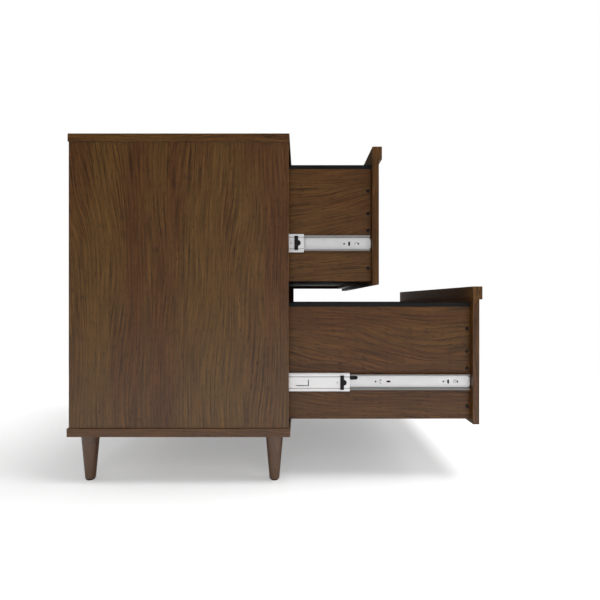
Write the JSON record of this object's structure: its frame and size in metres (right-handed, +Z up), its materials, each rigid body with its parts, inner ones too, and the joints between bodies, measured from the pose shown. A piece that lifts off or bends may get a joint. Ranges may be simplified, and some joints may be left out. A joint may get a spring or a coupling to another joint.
{
  "type": "lateral filing cabinet",
  "caption": "Low wood-laminate lateral filing cabinet on round tapered legs, wide drawers with full-width lip pulls running out on telescopic ball-bearing slides.",
  "frame": {"origin": "on the floor below the middle of the base panel", "axes": "+X to the right seen from the front, the drawers open towards -Y, +Z up"},
  "size_m": [0.8, 0.9398, 0.788],
  "materials": {
    "walnut_laminate": "dark walnut wood-grain laminate, satin",
    "leg_wood": "stained turned wood, satin",
    "back_board": "hardboard with printed wood face",
    "black_board": "black faced hardboard",
    "zinc_steel": "bright zinc plated rolled sheet",
    "black_steel": "black finish",
    "black_plastic": "moulded or extruded, fine matte"
  },
  "bodies": {
    "cabinet": {"top_panel": "walnut_laminate", "base_panel": "walnut_laminate", "left_side_panel": "walnut_laminate", "right_side_panel": "walnut_laminate", "back_panel": "back_board", "front_left_leg": "leg_wood", "front_right_leg": "leg_wood", "rear_left_leg": "leg_wood", "rear_right_leg": "leg_wood", "leg_bolts": "zinc_steel", "leg_inserts": "zinc_steel", "foot_glides": "black_plastic", "cam_fittings": "zinc_steel", "cabinet_runner_screws": "zinc_steel", "upper_left_cabinet_runner": "zinc_steel", "upper_right_cabinet_runner": "zinc_steel", "lower_left_cabinet_runner": "zinc_steel", "lower_right_cabinet_runner": "zinc_steel"},
    "upper_drawer": {"upper_front_panel": "walnut_laminate", "upper_front_pull": "walnut_laminate", "upper_box_front": "walnut_laminate", "upper_box_back": "walnut_laminate", "upper_left_box_side": "walnut_laminate", "upper_right_box_side": "walnut_laminate", "upper_box_bottom": "black_board", "upper_file_rails": "black_plastic", "upper_file_bar": "black_steel", "upper_left_drawer_runner": "zinc_steel", "upper_right_drawer_runner": "zinc_steel", "upper_box_screws": "black_steel", "upper_fixing_screws": "zinc_steel"},
    "upper_slide_middles": {"upper_left_middle_runner": "zinc_steel", "upper_right_middle_runner": "zinc_steel", "upper_slide_bumpers": "black_plastic"},
    "upper_outer_cages": {"upper_outer_ball_cages": "zinc_steel"},
    "upper_inner_cages": {"upper_inner_ball_cages": "zinc_steel"},
    "upper_left_lever": {"upper_left_release_lever": "black_plastic"},
    "upper_right_lever": {"upper_right_release_lever": "black_plastic"},
    "lower_drawer": {"lower_front_panel": "walnut_laminate", "lower_front_pull": "walnut_laminate", "lower_box_front": "walnut_laminate", "lower_box_back": "walnut_laminate", "lower_left_box_side": "walnut_laminate", "lower_right_box_side": "walnut_laminate", "lower_box_bottom": "black_board", "lower_file_rails": "black_plastic", "lower_file_bar": "black_steel", "lower_left_drawer_runner": "zinc_steel", "lower_right_drawer_runner": "zinc_steel", "lower_box_screws": "black_steel", "lower_fixing_screws": "zinc_steel"},
    "lower_slide_middles": {"lower_left_middle_runner": "zinc_steel", "lower_right_middle_runner": "zinc_steel", "lower_slide_bumpers": "black_plastic"},
    "lower_outer_cages": {"lower_outer_ball_cages": "zinc_steel"},
    "lower_inner_cages": {"lower_inner_ball_cages": "zinc_steel"},
    "lower_left_lever": {"lower_left_release_lever": "black_plastic"},
    "lower_right_lever": {"lower_right_release_lever": "black_plastic"}
  },
  "joints": [
    {"name": "upper_slide_first_stage", "type": "slide", "parent": "cabinet", "child": "upper_slide_middles", "axis": [0, -1, 0], "range_m": [-0.051, 0.126]},
    {"name": "upper_slide_second_stage", "type": "slide", "parent": "upper_slide_middles", "child": "upper_drawer", "axis": [0, -1, 0], "range_m": [-0.155, 0.125]},
    {"name": "upper_outer_cage_roll", "type": "slide", "parent": "cabinet", "child": "upper_outer_cages", "axis": [0, -1, 0], "range_m": [-0.0255, 0.063]},
    {"name": "upper_inner_cage_roll", "type": "slide", "parent": "upper_slide_middles", "child": "upper_inner_cages", "axis": [0, -1, 0], "range_m": [-0.0775, 0.0625]},
    {"name": "upper_left_lever_press", "type": "hinge", "parent": "upper_drawer", "child": "upper_left_lever", "pos_m": [-0.3634, -0.1157, 0.555], "axis": [1, 0, 0], "range_deg": [0, 5], "stiffness_Nm_per_rad": 0.02, "springref_deg": -9.74},
    {"name": "upper_right_lever_press", "type": "hinge", "parent": "upper_drawer", "child": "upper_right_lever", "pos_m": [0.3634, -0.1157, 0.555], "axis": [1, 0, 0], "range_deg": [0, 5], "stiffness_Nm_per_rad": 0.02, "springref_deg": -9.74},
    {"name": "lower_slide_first_stage", "type": "slide", "parent": "cabinet", "child": "lower_slide_middles", "axis": [0, -1, 0], "range_m": [-0.156, 0.021]},
    {"name": "lower_slide_second_stage", "type": "slide", "parent": "lower_slide_middles", "child": "lower_drawer", "axis": [0, -1, 0], "range_m": [-0.28, 0]},
    {"name": "lower_outer_cage_roll", "type": "slide", "parent": "cabinet", "child": "lower_outer_cages", "axis": [0, -1, 0], "range_m": [-0.078, 0.0105]},
    {"name": "lower_inner_cage_roll", "type": "slide", "parent": "lower_slide_middles", "child": "lower_inner_cages", "axis": [0, -1, 0], "range_m": [-0.14, 0]},
    {"name": "lower_left_lever_press", "type": "hinge", "parent": "lower_drawer", "child": "lower_left_lever", "pos_m": [-0.3634, -0.3457, 0.235], "axis": [1, 0, 0], "range_deg": [0, 5], "stiffness_Nm_per_rad": 0.02, "springref_deg": -9.74},
    {"name": "lower_right_lever_press", "type": "hinge", "parent": "lower_drawer", "child": "lower_right_lever", "pos_m": [0.3634, -0.3457, 0.235], "axis": [1, 0, 0], "range_deg": [0, 5], "stiffness_Nm_per_rad": 0.02, "springref_deg": -9.74}
  ],
  "couplings": [
    {"joint": "upper_outer_cage_roll", "follows": "upper_slide_first_stage", "ratio": 0.5},
    {"joint": "upper_inner_cage_roll", "follows": "upper_slide_second_stage", "ratio": 0.5},
    {"joint": "lower_outer_cage_roll", "follows": "lower_slide_first_stage", "ratio": 0.5},
    {"joint": "lower_inner_cage_roll", "follows": "lower_slide_second_stage", "ratio": 0.5}
  ]
}
